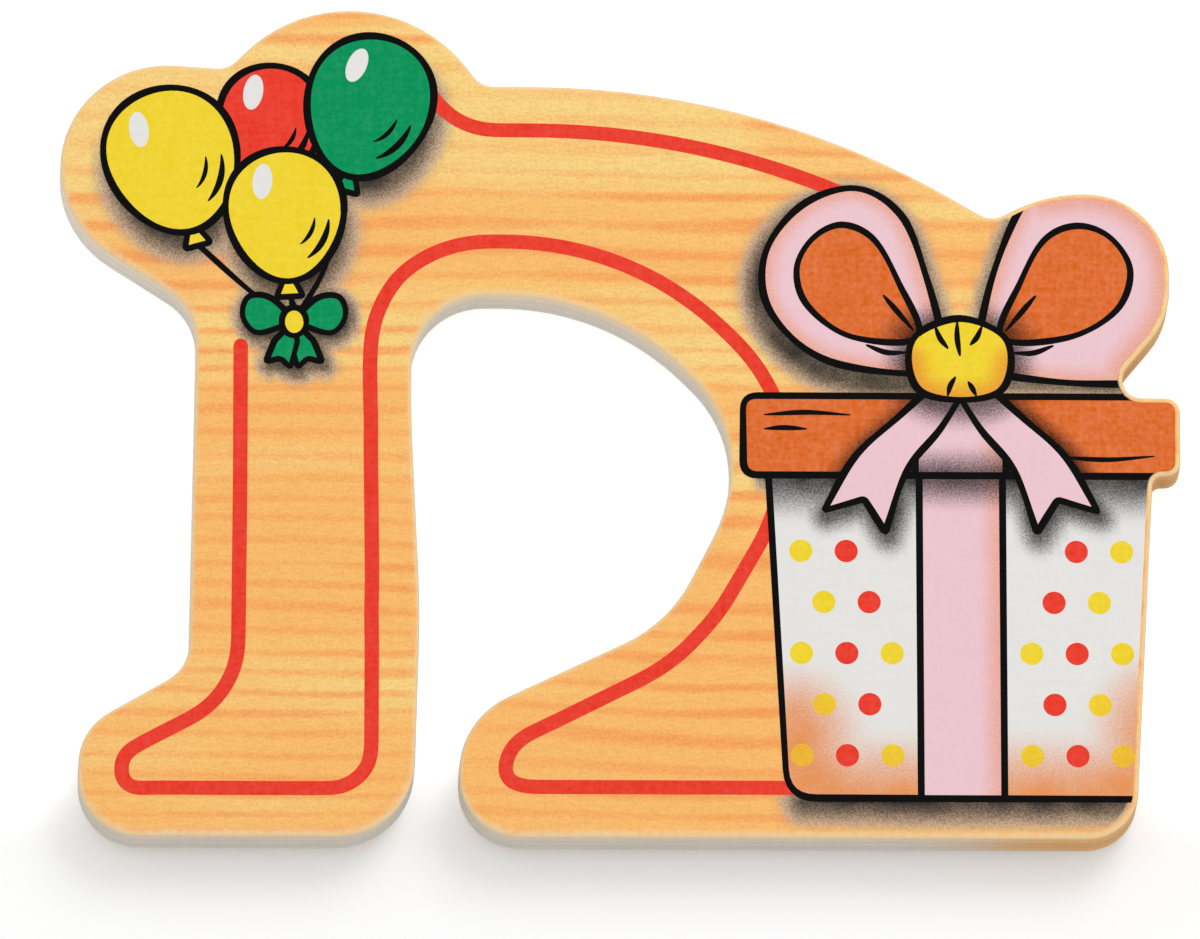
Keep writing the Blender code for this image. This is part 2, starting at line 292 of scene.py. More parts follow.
floor_material, floor_tree, floor_shader = new_material("studio_floor", {
    "Roughness": FLOOR_ROUGHNESS, "Specular IOR Level": FLOOR_GLOSS, "Emission Color": WHITE,
})
floor_place = own_place(floor_tree)
floor_colour = blend(noise(floor_place, (3, 3, 3)), *FLOOR_PALES)
feed(floor_shader.inputs["Base Color"], floor_colour)
above_foot = spread(axes(floor_place)["Y"], *SHADOW_ROWS, FOOT_LIFT, FULL_LIFT)
from_letter = add_node(floor_tree, "ShaderNodeVectorMath", {0: floor_place}, operation="LENGTH")
far_off = spread(from_letter.outputs["Value"], *SHADOW_ENDS, FOOT_LIFT, FULL_LIFT)
floor_lift = larger(above_foot, far_off)
floor_glow = times(seen_rays(floor_tree), floor_lift)
feed(floor_shader.inputs["Emission Strength"], floor_glow)

floor_mesh = bpy.data.meshes.new("floor")
half_side = FLOOR_SIDE / 2
floor_corners = [(x * half_side, y * half_side, 0) for x, y in ((-1, -1), (1, -1), (1, 1), (-1, 1))]
floor_mesh.from_pydata(floor_corners, [], [(0, 1, 2, 3)])
floor_mesh.materials.append(floor_material)
floor = add_object("floor", floor_mesh)
floor.location.z = -FLOOR_GAP
print("floor", FLOOR_SIDE, "m wide")

# %% [markdown]
# Grain, saw marks, spray and ink each turn up in more than one material. Copied nodes would drift
# apart, so each effect is a node group: it is built once, and every material sets its inputs.

# %% Node groups
def new_group(name, inputs, outputs, wire):
    """A shader node group with those sockets, in which wire gives what each output gets."""
    tree = bpy.data.node_groups.new(name, "ShaderNodeTree")
    for direction, sockets in (("INPUT", inputs), ("OUTPUT", outputs)):
        for socket, kind in sockets.items():
            tree.interface.new_socket(socket, in_out=direction, socket_type="NodeSocket" + kind)
    given = add_node(tree, "NodeGroupInput").outputs
    add_node(tree, "NodeGroupOutput", wire(tree, given))
    print(name, "group:", len(tree.nodes), "nodes")
    return tree


print("groups so far:", len(bpy.data.node_groups))

# %% [markdown]
# The face is pale veneer under a warm honey stain. Its grain runs across the letter: broad soft
# bands, thin darker streaks that wander and come and go, and fine fibres. A picture of wood would do
# for one face, but the back and the edges need the same wood from other sides, so the grain is a
# node group that is worked out in space. Noise that is stretched along X gives streaks, and a second
# slow noise bends them. The streaks lie closer together towards the foot, but not in the tail, which
# is the darkest wood. Near the letter's top the veneer has one wide pale band with hardly any, and
# above that band it is dark again.

# %% Wood grain
WANDER = 3 * MM
RINGS_PER_METRE = 520
RING_CROWDING = -1500
RING_DRIFT = 2.0
FADING = 2.6
FEWEST_STREAKS = 0.4
PALE_LIFT = 0.16
PALER_UPWARDS = 1.6
DARK_CREST = 2.8
FEWER_IN_TAIL = 150
DARKER_IN_TAIL = 0.2
# Metres of the frame between which the pale band and the tail set in or end.
PALE_FROM = (0.018, 0.0235)
PALE_TO = (0.0312, 0.0345)
PALE_END = (0.008, 0.014)
TAIL_START = (-0.0165, -0.0140)
TAIL_TOP = (-0.004, -0.016)


def grained(tree, given):
    """Grain along X: a colour, and the height of its fibres."""
    place = own_place(tree)
    at = axes(place)
    wander = minus(noise(place, (26, 40, 26), 1.0), 0.5)
    bent = times_plus(wander, WANDER, at["Y"])
    bent_axes = {"X": at["X"], "Y": bent, "Z": at["Z"]}
    bent_place = add_node(tree, "ShaderNodeCombineXYZ", bent_axes).outputs[0]
    tail = times(spread(at["X"], *TAIL_START), spread(at["Y"], *TAIL_TOP))

    pale_start = spread(at["Y"], *PALE_FROM)
    pale_rows = times_plus(spread(at["Y"], *PALE_TO), -DARK_CREST, pale_start)
    pale_band = times(pale_rows, spread(at["X"], *PALE_END, 1.0, 0.0))
    cloudy = times_plus(at["Y"], PALER_UPWARDS, noise(bent_place, (14, 150, 60)))
    darker_tail = times_plus(tail, -DARKER_IN_TAIL, cloudy)
    bands = spread(times_plus(pale_band, PALE_LIFT, darker_tail), 0.42, 0.66)
    ground = blend(bands, given["Ground"], given["Pale"])

    drift = times(noise(bent_place, (9, 110, 60)), RING_DRIFT)
    closer_below = times_plus(bent, RING_CROWDING, RINGS_PER_METRE)
    ring_count = times_plus(tail, -FEWER_IN_TAIL, closer_below)
    rings = times_plus(bent, ring_count, drift)
    swing = calc("SINE", times(rings, 2 * math.pi))
    fading = noise(bent_place, (70, 420, 90), 1.5)
    streaks = spread(times_plus(fading, FADING, swing), 1.0, 2.7)
    patches = spread(noise(place, (24, 40, 24), 1.0), 0.36, 0.60, 0.55, 1.0)
    fewer = times(patches, spread(pale_band, 0.0, 1.0, 1.0, FEWEST_STREAKS))

    fibres = noise(bent_place, (1100, 4200, 1200), 3.0)
    specks = mixture(fibres, 0.4, noise(place, (4200, 4800, 4200)), 0.6)
    dots = spread(specks, 0.35, 0.7, -0.1, 0.3)
    dark_share = times_plus(streaks, fewer, dots)
    streak_share = times(dark_share, given["Streak Share"])
    streaked = blend(streak_share, ground, given["Streak"])
    return {"Colour": shaded(streaked, spread(specks, 0.3, 0.7, 1.05, 0.94)), "Height": fibres}


WOOD_GRAIN = new_group(
    "wood_grain",
    {"Ground": "Color", "Pale": "Color", "Streak": "Color", "Streak Share": "Float"},
    {"Colour": "Color", "Height": "Float"},
    grained,
)

# %% [markdown]
# The saw leaves the edge bare. It is grey under the feet and golden towards the letter's right end.
# Higher up it is painted paler: painted light, standing in for the light that the white floor throws
# on the upper walls. Fine upright scratches come from the saw. All three plies show this edge, so it
# is a group as well.

# %% Sawn edge
PAINTED_LIGHT_ABOVE = 1.22
GOLDEN_FROM = (0.028, 0.042)
GOLDEN_DRIFT = 12 * MM


def sawn(tree, given):
    """Bare plywood edge: grey wood at the left, golden wood at the right, with saw marks, and painted
    light that brightens it higher up.
    """
    place = own_place(tree)
    at = axes(place)
    drift = times_plus(noise(place, (60, 60, 60)), GOLDEN_DRIFT, at["X"])
    # Painted light: the grey is brightened higher up the letter, for light that the white floor throws
    # on the upper walls.
    grey = shaded(given["Grey"], spread(at["Y"], board_low.y, 0.0, 1.0, PAINTED_LIGHT_ABOVE))
    wood = blend(spread(drift, *GOLDEN_FROM), grey, given["Gold"])
    saw_marks = noise(place, (4200, 4200, 160), 3.0)
    uneven = mixture(noise(place, (240, 240, 900)), 0.5, saw_marks, 0.5)
    return {"Colour": shaded(wood, spread(uneven, 0.25, 0.75, 0.95, 1.04)), "Height": saw_marks}


SAWN_EDGE = new_group(
    "sawn_edge", {"Grey": "Color", "Gold": "Color"}, {"Colour": "Color", "Height": "Float"}, sawn)

# %% [markdown]
# Soft shadows on such prints are sprayed: tiny drops that lie close together near the shape and
# thin out away from it. A smooth fade would look like a computer's drop shadow. So fine noise is
# added to the density that a piece carries, most of it where the wood is half covered and none
# where it is bare or full.

# %% Airbrush drops
DROP_CONTRAST = 1.2


def in_drops(tree, given):
    """Turns a sprayed density of 0 to 1 into a mask of fine drops."""
    place = own_place(tree)
    drops = spread(noise(place, (7000, 7000, 7000)), 0.3, 0.7, -0.5, 0.5)
    clouds = spread(noise(place, (420, 420, 420)), 0.3, 0.7, 0.9, 1.0)
    density = times(given["Density"], clouds)
    gaps = times(density, minus(1.0, density))
    scatter = times(times(drops, gaps), DROP_CONTRAST)
    inked = add_node(tree, "ShaderNodeClamp", {"Value": plus(density, scatter)})
    return {"Mask": inked.outputs[0]}


AIRBRUSH = new_group("airbrush_drops", {"Density": "Float"}, {"Mask": "Float"}, in_drops)

# %% [markdown]
# A printed ink is never one flat colour. It lies on veneer through a mesh, so it is mottled at about
# a third of a millimetre, and the mesh leaves a faint weave. Every ink shares this group, with its
# own colour and its own amount of mottle.

# %% Ink film
def mottled(tree, given):
    """A printed colour with its mottle, its roughness, and the height of its grain."""
    place = own_place(tree)
    specks = noise(place, (2600, 2600, 2600), 3.0)
    weave = plus(noise(place, (300, 2400, 300)), noise(place, (2400, 300, 300)))
    grain = mixture(weave, 0.25, specks, 0.5)
    swing = times(minus(grain, 0.5), given["Mottle"])
    brightness = plus(swing, 1.0)
    strength = times_plus(swing, -0.5, 1.0)
    return {
        "Colour": shaded(given["Colour"], brightness, strength),
        "Roughness": spread(grain, 0.3, 0.7, 0.42, 0.56),
        "Height": grain,
    }


INK_FILM = new_group(
    "ink_film",
    {"Colour": "Color", "Mottle": "Float"},
    {"Colour": "Color", "Roughness": "Float", "Height": "Float"},
    mottled,
)

# %% [markdown]
# The printed board's material puts these together. Two values on its mesh steer it: sanded is 1 on
# the sawn wall and falls over the rounded edge, where the stain is rubbed thin in flecks, and shade
# is the density of the black airbrush. Printers lay white under a picture, and a little of it spreads
# out past the picture, so the shade is grey where it thins out and not brown.

# %% Stained board material
HONEY_STAIN = {
    "Ground": paint(251, 189, 107), "Pale": paint(249, 213, 130),
    "Streak": paint(247, 157, 82), "Streak Share": 0.85,
}
STAINED_EDGE = {"Grey": paint(215, 203, 183), "Gold": paint(222, 172, 112)}
RUBBED_WOOD = paint(243, 210, 160)
WHITE_BASE = paint(236, 206, 176)
BLACK_SPRAY = paint(9, 8, 9)
STAIN_GLOSS = 0.2
WOOD_RELIEF = 0.02 * MM


def use_group(tree, group, inputs):
    """The outputs of that node group, placed with those inputs."""
    return add_node(tree, "ShaderNodeGroup", inputs, node_tree=group).outputs


def carried(tree, name):
    """A value that the piece's own vertices carry."""
    return add_node(tree, "ShaderNodeAttribute", attribute_name=name).outputs["Fac"]


def surface(shader, colour, roughness, height, depth):
    """Feeds the shader that colour and roughness, and a relief of depth metres from low to high."""
    inputs = {"Height": height, "Distance": depth, "Strength": 1.0}
    relief = add_node(shader.id_data, "ShaderNodeBump", inputs)
    feed(shader.inputs["Base Color"], colour)
    feed(shader.inputs["Roughness"], roughness)
    feed(shader.inputs["Normal"], relief.outputs[0])


def stained_board():
    """Honey-stained veneer, bare at its sanded edge, with black airbrush where it is sprayed."""
    made, tree, shader = new_material("stained_board", {"Specular IOR Level": STAIN_GLOSS})
    grain = use_group(tree, WOOD_GRAIN, HONEY_STAIN)
    edge = use_group(tree, SAWN_EDGE, STAINED_EDGE)
    density = carried(tree, "shade")
    based_wood = blend(spread(density, 0.0, 0.5, 0.0, 0.8), grain["Colour"], WHITE_BASE)
    drops = use_group(tree, AIRBRUSH, {"Density": density})
    sprayed_wood = blend(drops["Mask"], based_wood, BLACK_SPRAY)
    sanded = carried(tree, "sanded")
    flecks = spread(noise(own_place(tree), (2000, 2000, 2000)), 0.35, 0.65, 0.75, 1.2)
    rub = spread(times(sanded, flecks), 0.0, 0.8)
    rubbed_wood = blend(rub, sprayed_wood, RUBBED_WOOD)
    colour = blend(spread(sanded, 0.8, 1.0), rubbed_wood, edge["Colour"])
    roughness = spread(sanded, 0.0, 1.0, 0.46, 0.78)
    surface(shader, colour, roughness, grain["Height"], WOOD_RELIEF)
    return made


STAINED_BOARD = stained_board()
print("made", STAINED_BOARD.name)

# %% [markdown]
# The front ply is replaced by a finer piece: the solid's rounded edge has two steps, and its face is
# one polygon that can carry no sprayed density. The outline isn't drawn again. It is read from the
# solid itself, by walking round the lower rim, where one flat face meets one wall. So the piece fits
# the plies below it exactly.

# %% Read the outline
WELD = 1e-6
FLAT = 0.9


def lower_rim(node_name):
    """The lower rim of a flat CAD node as a loop of drawn points, anticlockwise."""
    solid = bmesh.new()
    solid.from_mesh(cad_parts[node_name].data)
    bmesh.ops.remove_doubles(solid, verts=solid.verts, dist=WELD)
    lowest = min(vert.co.z for vert in solid.verts)
    beside = {}
    for edge in solid.edges:
        flat_faces = sum(abs(face.normal.z) > FLAT for face in edge.link_faces)
        if flat_faces == 1 and all(vert.co.z < lowest + WELD for vert in edge.verts):
            for vert in edge.verts:
                beside.setdefault(vert, []).append(edge.other_vert(vert))
    start = next(iter(beside))
    walked = [start, beside[start][0]]
    while walked[-1] is not start:
        walked.append(next(v for v in beside[walked[-1]] if v is not walked[-2]))
    loop = (np.array([vert.co.xy for vert in walked[:-1]]) - DRAWING_ORIGIN) / MM
    solid.free()
    ahead = np.roll(loop, -1, axis=0)
    area = np.sum(loop[:, 0] * ahead[:, 1] - ahead[:, 0] * loop[:, 1]) / 2
    return loop if area > 0 else loop[::-1]


sawn_rim = lower_rim("front_ply")
print("rim of", len(sawn_rim), "points")

# %% [markdown]
# The rounded edge, the red line and the ink's limit all run beside the outline, so a loop has to move
# inwards and keep its shape. Each corner moves along the middle of its two edges. Scaling the loop
# would be simpler, but its margin would differ from place to place.

# %% Move and divide a loop
OUTLINE_STEP = 0.8


def unit(runs):
    """Those directions, each one long."""
    return runs / np.linalg.norm(runs, axis=1)[:, None]


def turned_left(runs):
    """Those directions, each turned left by a quarter of a circle."""
    return np.stack((-runs[:, 1], runs[:, 0]), axis=1)


def inset(loop, depth):
    """An anticlockwise loop moved inwards by that depth, corner by corner."""
    inward = turned_left(unit(np.roll(loop, -1, axis=0) - loop))
    before = np.roll(inward, 1, axis=0)
    lean = 1 + np.sum(inward * before, axis=1)[:, None]
    return loop + depth * (inward + before) / lean


def subdivided(loop, step):
    """The loop with its long edges cut into steps of at most that length."""
    fine = []
    for start, end in zip(loop, np.roll(loop, -1, axis=0)):
        count = math.ceil(np.linalg.norm(end - start) / step)
        fine.extend(start + (end - start) * share / count for share in range(count))
    return np.array(fine)


outline = subdivided(sawn_rim, OUTLINE_STEP)
outline_inward = inset(outline, 1.0) - outline
print("outline of", len(outline), "points,", [round(v, 1) for v in np.ptp(outline, axis=0)], "mm")

# %% [markdown]
# Two questions come up again and again on a flat drawing: which points lie inside a shape, and how
# far they lie from a line. Both are answered here for many points at once, with arrays.

# %% Inside a shape and near a line
def close_by(spots, shape, margin):
    """Which spots lie in the shape's box, widened by that margin."""
    return np.all((spots > shape.min(axis=0) - margin) & (spots < shape.max(axis=0) + margin), axis=1)


def inside(spots, loop):
    """Which spots lie inside the closed loop: those with an odd number of edges to their right."""
    found = close_by(spots, loop, 0.0)
    x, y = spots[found, 0][:, None], spots[found, 1][:, None]
    start, end = loop, np.roll(loop, -1, axis=0)
    rise = end[:, 1] - start[:, 1]
    rise = np.where(rise == 0, 1.0, rise)
    meets = start[:, 0] + (y - start[:, 1]) / rise * (end[:, 0] - start[:, 0])
    crossed = ((start[:, 1] > y) != (end[:, 1] > y)) & (x < meets)
    found[found] = crossed.sum(axis=1) % 2 == 1
    return found


def distance_to(spots, path):
    """How far each spot lies from the path, and the number of the path's point nearest to it."""
    start, run = path[:-1], np.diff(path, axis=0)
    offset = spots[:, None, :] - start
    share = np.clip(np.sum(offset * run, axis=2) / np.sum(run * run, axis=1), 0, 1)
    away = np.linalg.norm(offset - share[:, :, None] * run, axis=2)
    nearest = away.argmin(axis=1)
    rows = np.arange(len(spots))
    return away[rows, nearest], nearest + share[rows, nearest]


def closed(loop):
    """The loop as a path that ends where it starts."""
    return np.concatenate((loop, loop[:1]))


counter_and_stem = np.array([(30.0, 30.0), (8.0, 20.0)])
print("counter and stem on wood:", inside(counter_and_stem, outline))

# %% [markdown]
# A flat sheet with a curved outline could be one polygon, but then nothing on it can change from
# place to place. A constrained triangulation keeps every outline edge, and points spread inside give
# even triangles that can carry a value. The same tool cuts the inks later, so it is wrapped once here.

# %% Triangles of a flat sheet
NEAR_SAME = 1e-4
ENCLOSED_ONLY = 1


def lattice(loop, step, margin):
    """Points on a grid of that step, inside the loop and at least margin from it."""
    low, high = loop.min(axis=0), loop.max(axis=0)
    across, up = np.meshgrid(np.arange(low[0], high[0], step), np.arange(low[1], high[1], step))
    spots = np.stack((across.ravel(), up.ravel()), axis=1)
    spots = spots[inside(spots, loop)]
    return spots[distance_to(spots, closed(loop))[0] > margin]


def triangulate(loops, loose):
    """Triangles inside the closed loops, whose edges are kept, and through the loose points."""
    points, edges = [], []
    for loop in loops:
        first = len(points)
        points.extend(Vector(spot) for spot in loop)
        edges.extend((first + i, first + (i + 1) % len(loop)) for i in range(len(loop)))
    points.extend(Vector(spot) for spot in loose)
    found = delaunay_2d_cdt(points, edges, [], ENCLOSED_ONLY, NEAR_SAME)
    return np.array([tuple(point) for point in found[0]]), np.array(found[2])


print("ready to fill", round(float(np.ptp(outline[:, 0])), 1), "mm of board")

# %% [markdown]
# Every new piece is a mesh that rides on the letter and gets its material. Sanded
# wood and pressed foam both have sides that are one outline at several heights, so one helper joins
# such rings. Modifiers could shape them too, but rings leave a say over every height.

# %% Pieces and rings
SHARP = math.radians(40)


def new_piece(name, points, faces, material):
    """A named mesh piece that rides on the letter, with that material."""
    mesh = bpy.data.meshes.new(name)
    mesh.from_pydata(points, [], faces)
    mesh.validate()
    mesh.materials.append(material)
    piece = add_object(name, mesh)
    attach(piece, "root")
    return piece


def shade_round(piece):
    """Shades the piece smooth, apart from its sharp edges."""
    piece.data.shade_smooth()
    piece.data.set_sharp_from_angle(angle=SHARP)


def carry(piece, name, values):
    """Stores one value for each of the piece's vertices."""
    carrier = piece.data.attributes.new(name, "FLOAT", "POINT")
    carrier.data.foreach_set("value", np.asarray(values, np.float32))


def loft(rings):
    """The points of those rings, and the faces that join each ring to the next."""
    count = len(rings[0])
    faces = []
    for first in range(0, count * (len(rings) - 1), count):
        for i in range(count):
            j = (i + 1) % count
            faces.append((first + i, first + j, first + count + j, first + count + i))
    return [point for ring in rings for point in ring], faces


print("edges sharper than", round(math.degrees(SHARP)), "degrees stay crisp")

# %% [markdown]
# The board itself: a wall, an edge that sandpaper has rounded to a quarter circle, a narrow strip
# where the stain is rubbed thin, and the face. The stain is thinnest on edges that face down, which
# rub on whatever the letter stands on. A bevel could round the edge, but it has no say over the rub.
# So rings of the same outline are lofted from below upwards, each with its own rub, and the triangles
# close the face.

# %% Printed board
ARRIS = 0.4
ARRIS_STEPS = 6
STAIN_EDGE = 0.5
RIM_RUB = 0.1
FOOT_RUB = 0.5
FACE_STEP = 0.7


def printed_board():
    """The front ply with its rounded edge and a face of small triangles."""
    faces_down = np.clip(outline_inward[:, 1], 0, 1)
    rub = RIM_RUB + (FOOT_RUB - RIM_RUB) * faces_down
    rings, sanded = [to_frame(outline, board_low.z)], [np.ones(len(outline))]
    for step in range(ARRIS_STEPS + 1):
        angle = math.pi / 2 * step / ARRIS_STEPS
        drop = ARRIS * (1 - math.sin(angle)) * MM
        rings.append(to_frame(inset(outline, ARRIS * (1 - math.cos(angle))), FACE - drop))
        sanded.append(rub + (1 - rub) * math.cos(angle))
    rim = inset(outline, ARRIS + STAIN_EDGE)
    points, faces = loft(rings + [to_frame(rim, FACE)])
    spots, triangles = triangulate([rim], lattice(rim, FACE_STEP, FACE_STEP / 2))
    faces += [tuple(len(points) + corners) for corners in triangles]
    faces.append(tuple(reversed(range(len(outline)))))
    points += to_frame(spots, FACE)
    piece = new_piece("printed_board", points, faces, STAINED_BOARD)
    carry(piece, "sanded", np.concatenate(sanded + [np.zeros(len(outline) + len(spots))]))
    shape = bmesh.new()
    shape.from_mesh(piece.data)
    bmesh.ops.remove_doubles(shape, verts=shape.verts, dist=WELD)
    shape.to_mesh(piece.data)
    shape.free()
    shade_round(piece)
    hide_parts("front_ply")
    return piece


board = printed_board()
print("printed board:", len(board.data.polygons), "faces")

# %% [markdown]
# Drawn curves go through a few given points, as a flexible ruler goes through its pins. Curve
# objects could hold them, but points in an array are easier to cut and measure.

# %% Curves
def smooth(points, loop=False, steps=9):
    """A smooth curve through the points, open or as a loop."""
    knots = np.array(points, float)
    if loop:
        padded = np.concatenate((knots[-1:], knots, knots[:2]))
    else:
        padded = np.concatenate((2 * knots[:1] - knots[1:2], knots, 2 * knots[-1:] - knots[-2:-1]))
    t = np.arange(steps)[:, None] / steps
    curve = []
    for before, start, end, after in zip(padded, padded[1:], padded[2:], padded[3:]):
        bend = 2 * before - 5 * start + 4 * end - after + t * (3 * (start - end) + after - before)
        curve.append(start + t / 2 * (end - before + t * bend))
    curve = np.concatenate(curve)
    return curve if loop else np.concatenate((curve, knots[-1:]))


def travelled(path):
    """How far along the path each of its points lies."""
    return np.concatenate(([0.0], np.cumsum(np.linalg.norm(np.diff(path, axis=0), axis=1))))


print("a curve through 3 points has", len(smooth(((0, 0), (1, 1), (2, 0)))), "points")

# %% [markdown]
# The print is drawn the way a screen printer cuts it: filled areas of ink first, black pen lines
# over them, and whatever comes later hides what it covers. A shape is kept as its ink, its outline
# and a test for what it covers. A pen line has round ends, swells and thins a little on its way as a
# hand's does, and may taper.

# %% Ink and pen
PEN = 0.58
PEN_SWELL = 0.12
PEN_WAVE = 9.0
CAP_STEPS = 6
print_plan = []


def fill(ink, loop):
    """Adds a filled area of ink to the print."""
    loop = np.asarray(loop, float)
    print_plan.append((ink, loop, lambda spots: inside(spots, loop)))
    return loop


def line(path, width=PEN, taper=0.0, ink="black"):
    """Adds a pen line to the print; taper is the share of its width that it loses at each end."""
    path = np.asarray(path, float)
    along = np.linspace(-1, 1, len(path))
    swell = PEN_SWELL * np.sin(2 * math.pi * travelled(path) / PEN_WAVE) if ink == "black" else 0.0
    half = width / 2 * (1 - taper * along ** 2) * (1 + swell)
    run = unit(np.gradient(path, axis=0))
    side = turned_left(run) * half[:, None]
    turn = np.linspace(0, math.pi, CAP_STEPS + 1)[1:-1, None]
    far_cap = path[-1] + side[-1] * np.cos(turn) + run[-1] * half[-1] * np.sin(turn)
    near_cap = path[0] - side[0] * np.cos(turn) - run[0] * half[0] * np.sin(turn)
    edge = np.concatenate((path + side, far_cap, (path - side)[::-1], near_cap))

    def covers(spots):
        found = close_by(spots, path, width)
        if found.any():
            away, number = distance_to(spots[found], path)
            found[found] = away < np.interp(number, np.arange(len(path)), half)
        return found

    print_plan.append((ink, edge, covers))


print("pen width", PEN, "mm")

# %% [markdown]
# A red line runs round the face, a little inside the edge, as on many painted letters. It follows
# the board's own outline, so it is the outline moved inwards. It is printed in three stretches,
# because the pictures cover the rest. Print and saw never meet exactly: the line is straight along
# the stem, where the saw has wandered, and nearer to the edge at the feet. So each stretch is a list
# of marks, anticlockwise, and a mark is a place near the edge with the line's margin there.

# %% Red border line
BORDER_WIDTH = 1.18
BORDER_STEP = 0.3
BORDER_EASE = 11
BORDER_STRETCHES = (
    (((0.2, 41.4), 3.65), ((-0.1, 30.0), 3.86), ((-0.4, 16.0), 4.0), ((-5.0, 11.5), 3.65),
     ((-9.4, 5.0), 3.45), ((-4.0, 0.0), 4.07), ((11.0, 0.0), 4.07), ((16.3, 2.1), 4.15),
     ((18.0, 7.0), 3.6), ((18.4, 19.0), 3.94), ((17.8, 35.0), 3.34), ((17.85, 40.3), 3.42),
     ((19.8, 44.1), 4.4), ((24.0, 45.6), 4.65), ((36.0, 43.0), 4.8), ((43.8, 35.0), 4.8)),
    (((43.8, 31.0), 4.2), ((42.4, 25.5), 3.6), ((38.9, 19.3), 3.2), ((28.0, 12.5), 3.6),
     ((21.6, 5.0), 3.7), ((23.0, 1.5), 4.4), ((27.0, 0.0), 4.25), ((50.0, 0.0), 4.25)),
    (((58.0, 56.0), 3.8), ((21.6, 65.5), 3.8)),
)


def stretch(marks):
    """The outline from the first mark to the last, anticlockwise, set in by the marks' margins."""
    numbers = [np.linalg.norm(outline - place, axis=1).argmin() for place, _ in marks]
    steps = [(number - numbers[0]) % len(outline) for number in numbers]
    walked = np.arange(steps[-1] + 1)
    margins = np.interp(walked, steps, [margin for _, margin in marks])
    walked = (numbers[0] + walked) % len(outline)
    return outline[walked] + outline_inward[walked] * margins[:, None]


def relaxed(path, step, window):
    """The path in even steps, each the mean of its neighbours, so that tight corners turn wider."""
    run = travelled(path)
    even = np.arange(0.0, run[-1], step)
    points = np.stack([np.interp(even, run, path[:, axis]) for axis in (0, 1)], axis=1)
    padded = np.pad(points, ((window // 2, window // 2), (0, 0)), mode="edge")
    weights = np.hanning(window + 2)[1:-1]
    weights = weights / weights.sum()
    return np.stack([np.convolve(padded[:, axis], weights, "valid") for axis in (0, 1)], axis=1)


for marks in BORDER_STRETCHES:
    border = relaxed(stretch(marks), BORDER_STEP, BORDER_EASE)
    line(border, BORDER_WIDTH, ink="red")
    print("border stretch of", len(border), "points")

# %% [markdown]
# Balloons, knots and dots are ovals, and most printed shapes have a pen line round them. So small
# helpers draw an oval, lean it over, and ink a shape with its line. A pen can't turn a sharp corner,
# so the line may be eased there.

# %% Ovals and inked shapes
PEN_STEP = 0.15
PEN_EASE = 5


def on_circle(turn):
    """Points of a circle of radius 1 at those turns."""
    return np.stack((np.cos(turn), np.sin(turn)), axis=1)


def oval(half_size, count=72):
    """A loop about the origin with that half width and half height."""
    return on_circle(np.linspace(0, 2 * math.pi, count, endpoint=False)) * half_size


def leaning(points, middle, degrees):
    """Points about the origin, leaned to the right by that many degrees and moved to middle."""
    angle = math.radians(degrees)
    turn = np.array(((math.cos(angle), -math.sin(angle)), (math.sin(angle), math.cos(angle))))
    return np.asarray(points, float) @ turn + middle


def inked(ink, loop, pen=PEN, eased=False):
    """Adds an area of ink with a pen line round it, whose corners may be eased."""
    loop = fill(ink, loop)
    line(relaxed(closed(loop), PEN_STEP, PEN_EASE) if eased else closed(loop), pen)
    return loop


print("an oval has", len(oval((1.0, 1.0))), "points")

# %% [markdown]
# A bunch of toy balloons fills the two lobes at the top left. A balloon is an egg with its wide end
# up: an ellipse whose width grows a little with height. Strings come first, so that the balloons
# hide them, and the balloons follow from back to front. Each gets a knot, a glint and two curved pen
# strokes. Every balloon has the same make-up, so one function draws them all.

# %% Balloons
BALLOONS = (
    ("red", (6.3, 60.2), 8.4, 9.8, 2),
    ("yellow", (-1.7, 57.0), 10.8, 12.4, -16),
    ("green", (14.3, 61.6), 10.2, 12.2, 15),
    ("yellow", (7.5, 52.4), 9.6, 11.2, -3),
)
BALLOON_SWELL = 0.13
BALLOON_KNOT = np.array(((-0.5, 0.0), (-1.1, -1.3), (1.1, -1.3), (0.5, 0.0)))
GLINT_SIZE = (0.8, 1.5)
GLINT_PLACE = (-0.44, 0.48)
GLINT_LEAN = 8
SHINE_TURN = np.radians(np.linspace(-62, -8, 16))
SHINES = ((0.74, PEN * 0.85), (0.5, PEN * 0.6))
STRING_START = 1.2
STRING_SAG = (0.5, -0.8)
STRING_PEN = 0.45
STRINGS_MEET = np.array((8.2, 43.4))
KNOT_PEN = PEN * 0.8
STROKE_TAPER = 0.7


def balloon(ink, middle, width, height, lean):
    """Prints one balloon with its knot, glint and pen strokes, and gives its outline."""
    half = np.array((width, height)) / 2
    inked(ink, leaning(BALLOON_KNOT - (0, half[1]), middle, lean), KNOT_PEN, eased=True)
    egg = oval(half)
    egg[:, 0] *= 1 + BALLOON_SWELL * egg[:, 1] / half[1]
    body = inked(ink, leaning(egg, middle, lean))
    fill("white", leaning(oval(GLINT_SIZE) + half * GLINT_PLACE, middle, lean + GLINT_LEAN))
    for share, pen in SHINES:
        line(leaning(on_circle(SHINE_TURN) * half * share, middle, lean), pen, STROKE_TAPER)
    return body


for ink, middle, width, height, lean in BALLOONS:
    knot_end = leaning(((0, -height / 2 - STRING_START),), middle, lean)[0]
    halfway = (knot_end + STRINGS_MEET) / 2 + STRING_SAG
    line(smooth((knot_end, halfway, STRINGS_MEET)), STRING_PEN)
balloon_outlines = [balloon(*each) for each in BALLOONS]
print("balloons:", len(balloon_outlines))

# %% [markdown]
# The strings are gathered by a small green bow. Its two loops and two tails are mirror images, so
# one side is drawn and the other is flipped about the bow's middle.

